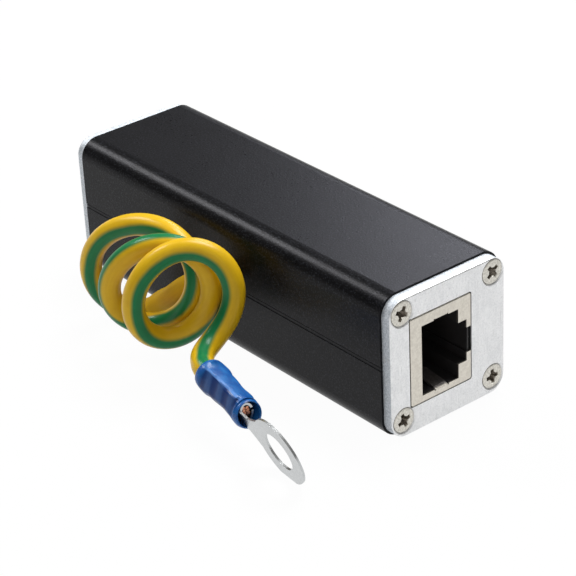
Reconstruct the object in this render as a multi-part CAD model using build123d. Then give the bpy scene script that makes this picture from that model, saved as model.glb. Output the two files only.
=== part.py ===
from build123d import *
from math import cos, exp, pi, radians, sin, tan
import os

# Inline surge protector for an ethernet line: a two-shell extruded case, an end plate with a
# shielded socket at each end, a circuit board between them, and a coiled earth lead with a
# ring terminal. Millimetres, +X along the case, +Z up, origin under the middle of the case.

# Case shells
case_length = 80.0
case_width = 25.5
case_height = 25.9
edge_radius = 3.5
wall = 1.6
seam_rise = 0.6               # above the middle of the case
seam_gap = 0.2
seam_band_height = 0.6
seam_band_depth = 0.1
lip_height = 1.2
lip_thickness = 0.7
fit_gap = 0.1

# End plates
plate_thickness = 2.0
plate_inset = 0.42
plate_corner_radius = 3.1
plate_edge_round = 0.3

# Screws and the channels that hold them
screw_side_inset = 3.0
screw_low_inset = 3.45
screw_high_inset = 2.95
screw_head_diameter = 4.6
screw_head_gap = 0.12
screw_neck_diameter = 2.4
screw_core_diameter = 2.0
screw_length = 8.0
plate_hole_diameter = 2.7
recess_length = 2.7
recess_width = 0.6
recess_depth = 0.9
channel_bore_diameter = 2.1
channel_outer_diameter = 3.8
channel_slot = 1.2

# Sockets, lying on their side with the latch notch towards +Y
shield_side_inset = 4.6       # from the case's -Y side
shield_far_inset = 7.8        # from its +Y side
shield_end_inset = 4.95       # from its top and bottom
shield_depth = 18.0
shield_sheet = 0.3
shield_corner_radius = 0.4
shield_front_round = 0.22
socket_rise = 0.2             # above the middle of the case
cutout_gap = 0.08
cutout_side_room = 0.2        # more on the side away from the latch notch
cutout_top_room = 0.1
opening_low_y = 2.35          # from the shield's low side
opening_end_margin = 1.625    # from the opening's ends to the shield's, on average
opening_drop = 0.375          # the opening sits a little under the shield's middle
latch_step_width = 1.8
latch_tip_width = 1.05
latch_step_share = 0.6        # of the opening's height
latch_tip_share = 0.361
cavity_depth = 11.6
housing_back_wall = 2.0
housing_gap = 0.05
finger_width = 2.6
finger_drop = 0.23            # from the middle of the opening's width towards its far side
finger_slit = 0.25
finger_bend = 0.75
finger_length = 5.0

# Socket contacts
contact_count = 8
contact_row_share = 0.56      # of the opening's height, from the first contact to the last
contact_width = 0.45
contact_thickness = 0.3
contact_slot = 0.65
contact_run_depth = 0.8       # from the opening's low edge into the housing's wall
contact_free_reach = 2.4      # how far the free end leans into the opening
contact_row_step = 1.8
pin_stand_off = 0.8           # from the housing's back to the first row
pin_tail = 1.0

# Circuit board
board_thickness = 1.6
board_stand_off = 0.15        # from the shields' backs
board_end_gap = 0.5
board_seat_gap = 0.2
board_side_gap = 0.05
rail_width = 0.9
rail_height = 1.5
pin_hole_diameter = 1.0

# Parts on the board
tube_positions = (-16.0, -8.0, 8.0, 16.0)
tube_drop = 6.3               # from the case's ceiling to the tubes' middles
tube_radius = 2.3
tube_length = 5.0
cap_radius = 2.5
cap_thickness = 0.8
band_width = 1.0
tube_stand_off = 0.3
tube_pin_diameter = 0.8
array_positions = (-15.0, -5.0, 5.0, 15.0)
array_length = 4.9
array_depth = 1.5
array_lead_reach = 1.0
array_lead_pitch = 1.27
array_lead_width = 0.4
resistor_positions = (-17.5, -12.5, -7.5, -2.5, 2.5, 7.5, 12.5, 17.5)
resistor_size = (3.2, 0.6, 1.6)
part_gap = 0.1

# Earth lead
lead_diameter = 3.9
lead_fit = 0.05
exit_x = -0.8
grommet_diameter = 5.8
grommet_flange_diameter = 7.6
grommet_flange_thickness = 1.0
tab_end_y = 1.0
tab_barrel_length = 3.6
tab_sheet = 0.7
tab_foot = (7.0, 5.4)

# Places along the lead give x, y and z, with y from the side of the case that the lead leaves.
# Coil of the lead: one entry for each half turn, from the terminal's end to the case's end.
# Each is the turn's centre, its radius and its heading in degrees.
coil_rings = (
    (5.1, -8.05, 15.6, 7.5, -16.3),
    (0.9, -9.25, 15.0, 7.9, -9.1),
    (-2.2, -9.25, 13.6, 8.1, -16.1),
    (-6.0, -9.15, 12.1, 9.1, -26.9),
    (-9.7, -7.15, 11.3, 7.2, -45.0),
    (-14.2, -4.65, 11.6, 8.7, -45.9),
    (-19.2, -4.35, 12.0, 10.2, -49.6),
    (-24.3, -4.05, 12.4, 11.7, -53.4),
)
coil_first_angle = -90
coil_lean = 2.9
coil_push = (6.6, 7.9, 9.6)               # how far each turn is spread off the case
coil_push_spread = 89.0
coil_push_direction = (0.686, -0.542, 0.485)
coil_start_angle = 980
coil_end_angle = -20
coil_step = 20
coil_body_margin = 0.1
coil_clearance = 0.15
coil_case_clearance = 0.9

# The free stretches of the lead, between the case and the coil and from there to the terminal
root_route = (
    (-2.3, -3.05, 13.5),
    (-4.7, -3.95, 12.2),
    (-7.4, -4.05, 10.0),
    (-10.4, -3.55, 7.5),
    (-13.9, -2.95, 5.2),
    (-16.8, -3.65, 2.4),
)
exit_run = 1.25
tail_route = (
    (9.7, -6.25, 13.1),
    (9.6, -8.05, 11.2),
    (9.8, -10.05, 10.0),
    (10.4, -12.15, 9.3),
    (11.5, -13.75, 9.1),
    (13.1, -14.85, 8.9),
    (14.3, -15.52, 9.0),
)

# Ring terminal and its sleeve
sleeve_start = (15.7, -15.85, 8.93)
sleeve_axis = (0.983, -0.110, -0.148)
sleeve_length = 12.6                      # to the middle of its mouth
sleeve_bore_radius = 2.0
sleeve_outline = (
    (0.0, 2.35),
    (0.35, 2.62),
    (1.2, 2.75),
    (3.2, 2.8),
    (4.3, 2.6),
    (5.8, 2.5),
    (8.2, 2.3),
    (9.6, 2.42),
    (11.6, 2.42),
    (12.9, 2.28),
)
sleeve_mouth_normal = (0.960, -0.130, 0.249)
sleeve_mouth_room = 1.4
lead_in_sleeve = 3.5
ring_centre = (37.53, -18.95, 5.41)
ring_normal = (-0.096, -0.952, -0.290)
ring_diameter = 12.1
ring_hole_diameter = 6.8
terminal_sheet = 0.4
shoulder_reach = 3.0
shoulder_width = 9.0
neck_reach = 6.5
neck_width = 4.5
tongue_width = 2.8
barrel_half_width = 1.95
barrel_half_height = 1.23
barrel_length = 6.4
barrel_setback = 0.8
barrel_slot = 0.6
tongue_overlap = 1.2
strand_radius = 0.3
strand_spacing = 0.62
strand_row = 0.32
strand_setback = 1.0
strand_length = 6.0

# Worked-out places
half_length = case_length / 2
face_x = half_length + plate_thickness
half_width = case_width / 2
seam_height = case_height / 2 + seam_rise
socket_centre_height = case_height / 2 + socket_rise
inner_half_width = half_width - wall
floor_z = wall
ceiling_z = case_height - wall
shield_low_y = shield_side_inset - half_width
shield_width = case_width - shield_side_inset - shield_far_inset
shield_height = case_height - 2 * shield_end_inset
shield_high_y = shield_low_y + shield_width
shield_centre_y = shield_low_y + shield_width / 2
shield_low_z = socket_centre_height - shield_height / 2
shield_back_x = face_x - shield_depth
opening_width = shield_width - opening_low_y - latch_step_width - latch_tip_width
opening_height = shield_height - 2 * opening_end_margin
opening_centre_z = socket_centre_height - opening_drop
opening_bottom_y = shield_low_y + opening_low_y
opening_top_y = opening_bottom_y + opening_width
latch_step_height = latch_step_share * opening_height
latch_tip_height = latch_tip_share * opening_height
contact_pitch = contact_row_share * opening_height / (contact_count - 1)
housing_front_x = face_x - shield_sheet - housing_gap
cavity_back_x = housing_front_x - cavity_depth
housing_back_x = cavity_back_x - housing_back_wall
board_face_y = shield_high_y + board_stand_off
board_back_y = board_face_y + board_thickness
board_half_length = half_length - board_end_gap
board_low_z = floor_z + board_seat_gap
board_high_z = ceiling_z - board_seat_gap
tube_height = ceiling_z - tube_drop
finger_y = opening_bottom_y + opening_width / 2 + finger_drop
contact_run_y = opening_bottom_y - contact_run_depth
tab_outer_radius = lead_diameter / 2 + lead_fit + tab_sheet
resistor_low_z = floor_z + rail_height + part_gap / 2
resistor_height = resistor_low_z + resistor_size[2] / 2
array_low_z = resistor_low_z + resistor_size[2] + part_gap
array_high_z = seam_height - tab_outer_radius - part_gap
array_height = (array_low_z + array_high_z) / 2
array_half_reach = (array_high_z - array_low_z) / 2
array_width = 2 * (array_half_reach - array_lead_reach)
screw_places = [
    (side * (half_width - screw_side_inset), z)
    for side in (-1, 1)
    for z in (screw_low_inset, case_height - screw_high_inset)
]
lead_radius = lead_diameter / 2
exit_point = Vector(exit_x, -half_width, seam_height)
sleeve_direction = Vector(*sleeve_axis).normalized()
lead_side = Vector(0, -half_width, 0)
sleeve_origin = lead_side + Vector(*sleeve_start)
ring_origin = lead_side + Vector(*ring_centre)


def block(low_x, high_x, low_y, high_y, low_z, high_z):
    """A box between two corners."""
    middle = ((low_x + high_x) / 2, (low_y + high_y) / 2, (low_z + high_z) / 2)
    return Pos(*middle) * Box(high_x - low_x, high_y - low_y, high_z - low_z)


def along_x(section, low_x, high_x):
    """Extrude a section drawn in Y and Z from low_x to high_x."""
    return Pos(low_x, 0, 0) * extrude(Plane.YZ * section, high_x - low_x)


def rectangle_between(low_y, high_y, low_z, high_z):
    return Pos((low_y + high_y) / 2, (low_z + high_z) / 2) * Rectangle(high_y - low_y, high_z - low_z)


def rod_y(x, z, radius, low_y, high_y):
    """A round bar along Y."""
    return Plane((x, low_y, z), x_dir=(1, 0, 0), z_dir=(0, 1, 0)) * Cylinder(
        radius, high_y - low_y, align=(Align.CENTER, Align.CENTER, Align.MIN)
    )


def rod_x(y, z, radius, low_x, high_x):
    """A round bar along X."""
    return Plane((low_x, y, z), x_dir=(0, 1, 0), z_dir=(1, 0, 0)) * Cylinder(
        radius, high_x - low_x, align=(Align.CENTER, Align.CENTER, Align.MIN)
    )


# Case: both shells come from one extruded section, split along the seam
def case_section():
    outline = Pos(0, case_height / 2) * RectangleRounded(case_width, case_height, edge_radius)
    bore = Pos(0, case_height / 2) * RectangleRounded(
        case_width - 2 * wall, case_height - 2 * wall, edge_radius - wall
    )
    section = outline - bore
    for y, z in screw_places:
        section += outline & (Pos(y, z) * Circle(channel_outer_diameter / 2))
    rail_faces = (board_face_y - board_side_gap - rail_width, board_back_y + board_side_gap)
    for low_y in rail_faces:
        section += rectangle_between(low_y, low_y + rail_width, floor_z - fit_gap, floor_z + rail_height)
        section += rectangle_between(low_y, low_y + rail_width, ceiling_z - rail_height, ceiling_z + fit_gap)
    for y, z in screw_places:
        inward = -1 if z > case_height / 2 else 1
        slot_end = z + inward * channel_outer_diameter
        section -= Pos(y, z) * Circle(channel_bore_diameter / 2)
        section -= rectangle_between(
            y - channel_slot / 2, y + channel_slot / 2, min(z, slot_end), max(z, slot_end)
        )
    return section


def grommet_hole():
    return rod_y(exit_x, seam_height, grommet_diameter / 2 + fit_gap / 2, -half_width - 1, -inner_half_width + 1)


def lower_shell():
    top = seam_height - seam_gap / 2
    section = case_section() & rectangle_between(-half_width, half_width, 0, top)
    for side in (-1, 1):
        outer = side * half_width
        inner = side * inner_half_width
        band = sorted((outer, outer - side * seam_band_depth))
        section -= rectangle_between(*band, top - seam_band_height, top)
        lip = sorted((inner, inner + side * lip_thickness))
        section += rectangle_between(*lip, top - fit_gap, top + seam_gap + lip_height)
    return along_x(section, -half_length, half_length) - grommet_hole()


def upper_shell():
    bottom = seam_height + seam_gap / 2
    section = case_section() & rectangle_between(-half_width, half_width, bottom, case_height)
    for side in (-1, 1):
        inner = side * inner_half_width
        rebate = sorted((inner, inner + side * (lip_thickness + fit_gap)))
        section -= rectangle_between(*rebate, bottom, bottom + lip_height + fit_gap)
    return along_x(section, -half_length, half_length) - grommet_hole()


# End plates and their screws
def opening_section():
    """The stepped plug opening with its latch notch, in Y and Z."""
    middle = opening_centre_z
    step_y = opening_top_y + latch_step_width
    section = rectangle_between(
        opening_bottom_y, opening_top_y, middle - opening_height / 2, middle + opening_height / 2
    )
    section += rectangle_between(
        opening_top_y, step_y, middle - latch_step_height / 2, middle + latch_step_height / 2
    )
    section += rectangle_between(step_y, shield_high_y, middle - latch_tip_height / 2, middle + latch_tip_height / 2)
    return section


def end_plate():
    width = case_width - 2 * plate_inset
    height = case_height - 2 * plate_inset
    section = Pos(0, case_height / 2) * RectangleRounded(width, height, plate_corner_radius)
    plate = along_x(section, half_length, face_x)
    plate = fillet(plate.faces().sort_by(Axis.X)[-1].edges(), plate_edge_round)
    cutout = Pos(shield_centre_y - cutout_side_room / 2, socket_centre_height + cutout_top_room / 2)
    cutout *= RectangleRounded(
        shield_width + 2 * cutout_gap + cutout_side_room,
        shield_height + 2 * cutout_gap + cutout_top_room,
        shield_corner_radius + cutout_gap,
    )
    plate -= along_x(cutout, half_length - 1, face_x + 1)
    sink_radius = screw_head_diameter / 2 + screw_head_gap
    sink_depth = sink_radius - plate_hole_diameter / 2
    for y, z in screw_places:
        plate -= rod_x(y, z, plate_hole_diameter / 2, half_length - 1, face_x + 1)
        sink = Plane((face_x - sink_depth, y, z), x_dir=(0, 1, 0), z_dir=(1, 0, 0)) * Cone(
            plate_hole_diameter / 2, sink_radius, sink_depth, align=(Align.CENTER, Align.CENTER, Align.MIN)
        )
        plate -= sink
    return plate


def plate_screw(y, z, turn):
    """A countersunk screw with a cross recess, its head flush with the plate."""
    head_face = face_x - screw_head_gap
    head_depth = (screw_head_diameter - screw_neck_diameter) / 2
    neck_end = half_length + screw_head_gap
    head = Plane((head_face - head_depth, y, z), x_dir=(0, 1, 0), z_dir=(1, 0, 0)) * Cone(
        screw_neck_diameter / 2, screw_head_diameter / 2, head_depth, align=(Align.CENTER, Align.CENTER, Align.MIN)
    )
    neck = rod_x(y, z, screw_neck_diameter / 2, neck_end, head_face - head_depth)
    core = rod_x(y, z, screw_core_diameter / 2, head_face - screw_length, neck_end)
    screw = head + neck + core
    for angle in (turn, turn + 90):
        arm = Box(2 * recess_depth, recess_length, recess_width)
        screw -= Pos(head_face, y, z) * Rot(angle, 0, 0) * arm
    return screw


def plate_screws(turns):
    return [plate_screw(y, z, turn) for (y, z), turn in zip(screw_places, turns)]


# Socket: a folded shield, a moulded housing inside it and eight sprung contacts
def contact_heights():
    first = opening_centre_z - (contact_count - 1) / 2 * contact_pitch
    return [first + index * contact_pitch for index in range(contact_count)]


def pin_x(index):
    return housing_back_x - pin_stand_off - (index % 2) * contact_row_step


def shield_finger(side):
    """A spring strip folded from the face into the opening, at its lower or upper end."""
    edge = opening_centre_z + side * (opening_height / 2 + finger_slit)
    skin = face_x - shield_sheet / 2
    path = Plane.XZ * Polyline(
        (skin, edge + side * 0.4),
        (skin, edge),
        (skin - 0.5, edge - side * 0.35),
        (skin - finger_length, edge - side * (finger_slit + finger_bend)),
        (skin - finger_length - 0.8, edge - side * (finger_slit + finger_bend - 0.3)),
    )
    strip = Plane.XZ * trace(Plane.XZ.to_local_coords(path), shield_sheet)
    solid = extrude(strip, finger_width / 2, both=True)
    return Pos(0, finger_y, 0) * solid


def jack_shield():
    outer = Pos(shield_centre_y, socket_centre_height) * RectangleRounded(
        shield_width, shield_height, shield_corner_radius
    )
    inner = Pos(shield_centre_y, socket_centre_height) * RectangleRounded(
        shield_width - 2 * shield_sheet, shield_height - 2 * shield_sheet, shield_corner_radius - shield_sheet
    )
    shield = along_x(outer, shield_back_x, face_x)
    shield = fillet(shield.faces().sort_by(Axis.X)[-1].edges(), shield_front_round)
    shield -= along_x(inner, shield_back_x + shield_sheet, face_x - shield_sheet)
    # the side that lies on the board is open behind the plate
    shield -= block(
        shield_back_x - 1, board_half_length + board_end_gap / 2,
        shield_high_y - shield_sheet, shield_high_y + 1,
        shield_low_z + shield_corner_radius, shield_low_z + shield_height - shield_corner_radius,
    )
    shield -= along_x(opening_section(), face_x - shield_sheet - 0.4, face_x + 1)
    for side in (-1, 1):
        edge = opening_centre_z + side * opening_height / 2
        slit_end = edge + side * finger_slit
        shield -= block(
            face_x - shield_sheet - 0.1, face_x + 1,
            finger_y - finger_width / 2 - finger_slit, finger_y + finger_width / 2 + finger_slit,
            min(edge, slit_end), max(edge, slit_end),
        )
        shield += shield_finger(side)
    return shield


def jack_housing():
    low_z = shield_low_z + shield_sheet + housing_gap
    high_z = shield_low_z + shield_height - shield_sheet - housing_gap
    low_y = shield_low_y + shield_sheet + housing_gap
    front_high_y = shield_high_y - shield_sheet - housing_gap
    outline = Pos(shield_centre_y, socket_centre_height) * RectangleRounded(
        front_high_y - low_y, high_z - low_z, shield_corner_radius - shield_sheet
    )
    body = along_x(outline, housing_back_x, housing_front_x)
    # the foot that stands on the board
    body += block(
        housing_back_x, board_half_length - board_end_gap / 2,
        front_high_y - 0.1, board_face_y,
        shield_low_z + shield_corner_radius + housing_gap,
        shield_low_z + shield_height - shield_corner_radius - housing_gap,
    )
    cavity = opening_section() & rectangle_between(
        opening_bottom_y, front_high_y - shield_sheet, low_z, high_z
    )
    body -= along_x(cavity, cavity_back_x, housing_front_x + 1)
    # pockets that the shield's fingers spring into
    for side in (-1, 1):
        edge = opening_centre_z + side * opening_height / 2
        pocket_end = edge + side * (finger_slit + shield_sheet)
        body -= block(
            housing_front_x - finger_length - 1.6, housing_front_x + 1,
            finger_y - finger_width / 2 - fit_gap, finger_y + finger_width / 2 + fit_gap,
            min(edge, pocket_end), max(edge, pocket_end),
        )
    # one channel for each contact, open to the cavity
    for height in contact_heights():
        body -= block(
            housing_back_x - 1, housing_front_x - 1.0,
            contact_run_y - contact_slot / 2, opening_bottom_y + 0.1,
            height - contact_slot / 2, height + contact_slot / 2,
        )
        body -= block(
            housing_back_x - 1, cavity_back_x + 0.1,
            opening_bottom_y, opening_bottom_y + contact_free_reach + 0.6,
            height - contact_slot / 2, height + contact_slot / 2,
        )
    return body


def jack_contact(index, height):
    """One spring wire: board pin, run under the housing's wall, and the free end in the opening."""
    bend_x = housing_front_x - 1.9
    free_y = opening_bottom_y + contact_free_reach
    points = (
        (pin_x(index), board_back_y + pin_tail),
        (pin_x(index), contact_run_y),
        (bend_x, contact_run_y),
        (bend_x + 0.45, contact_run_y + 0.4),
        (bend_x, contact_run_y + 0.8),
        (cavity_back_x + 2.0, free_y),
    )
    strip = trace(Polyline(*points), contact_thickness)
    return Pos(0, 0, height) * extrude(strip, contact_width / 2, both=True)


def jack_contacts():
    return [jack_contact(index, height) for index, height in enumerate(contact_heights())]


def to_rear(piece):
    """Turn a socket's piece end for end, about the level axis through the socket's middle."""
    return Pos(0, 0, 2 * socket_centre_height) * Rot(0, 180, 0) * piece


# Circuit board and what it carries
def tube_pin_places():
    reach = tube_length / 2 + cap_thickness / 2
    return [(x, tube_height + step * reach) for x in tube_positions for step in (-1, 0, 1)]


def circuit_board():
    board = block(
        -board_half_length, board_half_length, board_face_y, board_back_y, board_low_z, board_high_z
    )
    board = fillet(board.edges().filter_by(Axis.Y), 0.8)
    holes = []
    for index, height in enumerate(contact_heights()):
        holes.append((pin_x(index), height))
        holes.append((-pin_x(index), 2 * socket_centre_height - height))
    holes += tube_pin_places()
    for x, z in holes:
        board -= rod_y(x, z, pin_hole_diameter / 2, board_face_y - 1, board_back_y + 1)
    return board


def tube_centre_y():
    return board_face_y - tube_stand_off - cap_radius


def gas_tubes():
    return [
        Pos(x, tube_centre_y(), tube_height) * Cylinder(tube_radius, tube_length) for x in tube_positions
    ]


def gas_tube_electrodes():
    pieces = []
    pin_end = board_back_y + pin_tail - 0.2
    for x in tube_positions:
        for end in (-1, 1):
            z = tube_height + end * (tube_length + cap_thickness) / 2
            cap = Pos(x, tube_centre_y(), z) * Cylinder(cap_radius, cap_thickness)
            pin = rod_y(x, z, min(tube_pin_diameter, cap_thickness) / 2, tube_centre_y(), pin_end)
            pieces.append(cap + pin)
        band = Cylinder(cap_radius, band_width) - Cylinder(tube_radius + 0.01, band_width)
        band = Pos(x, tube_centre_y(), tube_height) * band
        pin = rod_y(x, tube_height, tube_pin_diameter / 2, tube_centre_y() + (cap_radius + tube_radius) / 2, pin_end)
        pieces.append(band + pin)
    return pieces


def clamp_arrays():
    pieces = []
    for x in array_positions:
        body = block(
            x - array_length / 2, x + array_length / 2,
            board_face_y - 0.15 - array_depth, board_face_y - 0.15,
            array_height - array_width / 2, array_height + array_width / 2,
        )
        body = chamfer(body.edges().group_by(Axis.Y)[0], 0.25)
        for step in range(4):
            lead_x = x + (step - 1.5) * array_lead_pitch
            body += block(
                lead_x - array_lead_width / 2, lead_x + array_lead_width / 2,
                board_face_y - 0.2, board_face_y,
                array_height - array_half_reach, array_height + array_half_reach,
            )
        pieces.append(body)
    return pieces


def line_resistors():
    length, depth, width = resistor_size
    return [
        block(
            x - length / 2, x + length / 2, board_face_y - depth, board_face_y,
            resistor_height - width / 2, resistor_height + width / 2,
        )
        for x in resistor_positions
    ]


# Earth lead inside the case
def earth_tab():
    """A folded tab soldered to the board, with a barrel crimped round the lead's end."""
    bore = lead_radius + lead_fit
    outer = tab_outer_radius
    barrel_start = tab_end_y - tab_barrel_length
    tab = rod_y(exit_x, seam_height, outer, barrel_start, tab_end_y)
    tab += block(
        exit_x - lead_radius, exit_x + lead_radius, barrel_start, board_face_y,
        seam_height - outer, seam_height - bore,
    )
    tab += block(
        exit_x - tab_foot[0] / 2, exit_x + tab_foot[0] / 2, board_face_y - tab_sheet, board_face_y,
        seam_height - outer, seam_height - outer + tab_foot[1],
    )
    return tab - rod_y(exit_x, seam_height, bore, barrel_start - 1, tab_end_y + 1)


def lead_grommet():
    bush = rod_y(exit_x, seam_height, grommet_diameter / 2, -half_width, -inner_half_width)
    bush += rod_y(
        exit_x, seam_height, grommet_flange_diameter / 2, -inner_half_width,
        -inner_half_width + grommet_flange_thickness,
    )
    return bush - rod_y(exit_x, seam_height, lead_radius + lead_fit, -half_width - 1, 0)


def lead_inner():
    return rod_y(exit_x, seam_height, lead_radius, -half_width, tab_end_y - 0.3)


# Earth lead outside the case
def between(stations, position):
    """A value on the straight lines between evenly spaced stations."""
    low = min(int(position), len(stations) - 2)
    share = position - low
    return [a + share * (b - a) for a, b in zip(stations[low], stations[low + 1])]


def coil_point(angle):
    x, y, z, radius, heading = between(coil_rings, (angle - coil_first_angle) / 180)
    lean = radians(coil_lean)
    heading = radians(heading)
    normal = Vector(cos(lean) * cos(heading), cos(lean) * sin(heading), sin(lean))
    up = (Vector(0, 0, 1) - normal * normal.Z).normalized()
    side = up.cross(normal)
    push = sum(
        amount * exp(-(((angle - 360 * turn) / coil_push_spread) ** 2)) for turn, amount in enumerate(coil_push)
    )
    turned = side * (radius * cos(radians(angle))) + up * (radius * sin(radians(angle)))
    return lead_side + Vector(x, y, z) + turned + Vector(*coil_push_direction) * push


def coil_points():
    return [coil_point(angle) for angle in range(coil_start_angle, coil_end_angle - 1, -coil_step)]


def bend_radii(points):
    """Each corner's arc is as large as its two runs allow."""
    radii = []
    for before, corner, after in zip(points, points[1:], points[2:]):
        turn = radians((corner - before).get_angle(after - corner))
        shorter = min((corner - before).length, (after - corner).length)
        radii.append(0.45 * shorter / tan(turn / 2))
    return radii


def round_tube(points, radius):
    """A tube along straight runs joined by tangent arcs."""
    path = FilletPolyline(*points, radius=bend_radii(points))
    start = Plane(points[0], z_dir=points[1] - points[0])
    return sweep(start * Circle(radius), path), path.length


def root_points():
    out = exit_point + Vector(0, -exit_run, 0)
    route = [lead_side + Vector(*point) for point in root_route]
    return [exit_point, out] + route + [coil_point(coil_start_angle)]


def tail_points():
    end = sleeve_origin + sleeve_direction * lead_in_sleeve
    route = [lead_side + Vector(*point) for point in tail_route]
    return [coil_point(coil_end_angle)] + route + [sleeve_origin, end]


def coil_body():
    """The closed outer shape of the three loose turns: a leaning oval ring."""
    points = coil_points()
    per_turn = 360 // coil_step
    heading = radians(sum(ring[4] for ring in coil_rings) / len(coil_rings))
    axis = Vector(cos(heading), sin(heading), 0)
    across = Vector(0, 0, 1).cross(axis)
    windows = (points[:per_turn], points[per_turn:2 * per_turn], points[-per_turn:])
    stations = []
    for window in windows:
        centre = sum(window, Vector(0, 0, 0)) / len(window)
        half_across = (max(p.dot(across) for p in window) - min(p.dot(across) for p in window)) / 2
        half_up = (max(p.Z for p in window) - min(p.Z for p in window)) / 2
        middle = across * ((max(p.dot(across) for p in window) + min(p.dot(across) for p in window)) / 2)
        middle += axis * centre.dot(axis)
        middle += Vector(0, 0, (max(p.Z for p in window) + min(p.Z for p in window)) / 2)
        stations.append((middle, half_across, half_up))
    reaches = (
        min(p.dot(axis) for p in points) - lead_radius,
        max(p.dot(axis) for p in points) + lead_radius,
    )
    sections = []
    for number, (middle, half_across, half_up) in enumerate(stations):
        if number == 0:
            middle = middle + axis * (reaches[0] - middle.dot(axis))
        if number == len(stations) - 1:
            middle = middle + axis * (reaches[1] - middle.dot(axis))
        sections.append((Plane(middle, x_dir=across, z_dir=axis), half_across, half_up))
    grow = lead_radius + coil_body_margin
    outer = loft([plane * Ellipse(a + grow, b + grow) for plane, a, b in sections], ruled=True)
    inner = loft([plane * Ellipse(a - grow, b - grow) for plane, a, b in sections], ruled=True)
    body = outer - inner
    far = 100.0
    body -= block(-far, far, -half_width - coil_case_clearance, far, -far, far)
    body -= block(-far, far, -far, far, -far, 0.02)
    for route in (root_points(), tail_points()):
        body -= round_tube(route, lead_radius + coil_clearance)[0]
    return max(body.solids(), key=lambda solid: solid.volume)


# Ring terminal
def sleeve_plane(distance):
    side = sleeve_direction.cross(Vector(*ring_normal)).normalized()
    return Plane(sleeve_origin + sleeve_direction * distance, x_dir=side, z_dir=sleeve_direction)


def terminal_sleeve():
    """The insulating sleeve: a collar at the wire's end, a pressed waist and a mouth cut at a slant."""
    end = sleeve_length + sleeve_mouth_room
    outline = [(radius, distance) for distance, radius in sleeve_outline]
    profile = Polyline(
        (sleeve_bore_radius, 0), *outline, (outline[-1][0], end), (sleeve_bore_radius, end), close=True
    )
    face = Plane.XZ * make_face(Plane.XZ.to_local_coords(Plane.XZ * profile))
    sleeve = sleeve_plane(0) * revolve(face, Axis.Z)
    mouth = Plane(sleeve_origin + sleeve_direction * sleeve_length, z_dir=Vector(*sleeve_mouth_normal))
    return sleeve - mouth * extrude(Circle(3 * sleeve_bore_radius), 3 * sleeve_mouth_room)


def ring_plane():
    normal = Vector(*ring_normal).normalized()
    to_sleeve = (sleeve_origin + sleeve_direction * sleeve_length) - ring_origin
    along = (to_sleeve - normal * to_sleeve.dot(normal)).normalized()
    return Plane(ring_origin, x_dir=along, z_dir=normal)


def ring_terminal():
    plane = ring_plane()
    barrel_end = sleeve_length - barrel_setback
    mouth = plane.to_local_coords(sleeve_origin + sleeve_direction * barrel_end)
    reach = mouth.X + tongue_overlap
    ring_radius = ring_diameter / 2
    side = [
        (0, shoulder_width / 2),
        (shoulder_reach, shoulder_width / 2),
        (neck_reach, neck_width / 2),
        (mouth.X - 2 * tongue_overlap, tongue_width / 2),
        (reach, tongue_width / 2),
    ]
    tongue = Polyline(*side, *[(x, -y) for x, y in reversed(side)], close=True)
    blade = Circle(ring_radius) + make_face(tongue) - Circle(ring_hole_diameter / 2)
    terminal = plane * extrude(blade, terminal_sheet / 2, both=True)
    # the tongue narrows to the barrel's own wall where it enters the sleeve
    barrel = Ellipse(barrel_half_width, barrel_half_height)
    terminal -= sleeve_plane(0) * extrude(Circle(3 * barrel_half_width) - barrel, barrel_end)
    bore = Circle(sleeve_bore_radius - fit_gap / 2)
    inside = sleeve_plane(barrel_end) * extrude(Circle(3 * barrel_half_width) - bore, 2 * tongue_overlap)
    terminal -= inside
    tube = barrel - Ellipse(barrel_half_width - terminal_sheet, barrel_half_height - terminal_sheet)
    tube -= Pos(0, barrel_half_height) * Rectangle(barrel_slot, 2 * barrel_half_height)
    terminal += sleeve_plane(barrel_end - barrel_length) * extrude(tube, barrel_length)
    return terminal


def conductor_strands():
    places = [(strand_spacing * (step - 1.5), -strand_row) for step in range(4)]
    places += [(strand_spacing * (step - 1), strand_row) for step in range(3)]
    plane = sleeve_plane(sleeve_length - strand_setback - strand_length)
    return [
        plane * Pos(x, y, 0) * Cylinder(strand_radius, strand_length, align=(Align.CENTER, Align.CENTER, Align.MIN))
        for x, y in places
    ]


def solids_of(piece):
    pieces = piece if isinstance(piece, list) else [piece]
    return [solid for item in pieces for solid in item.solids()]


def write(node, piece):
    solids = solids_of(piece)
    shape = solids[0] if len(solids) == 1 else Compound(children=solids)
    export_step(shape, f"parts/{node}.step")
    print(f"{node}: {len(solids)} solid(s), {sum(solid.volume for solid in solids):.2f} mm3")


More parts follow.
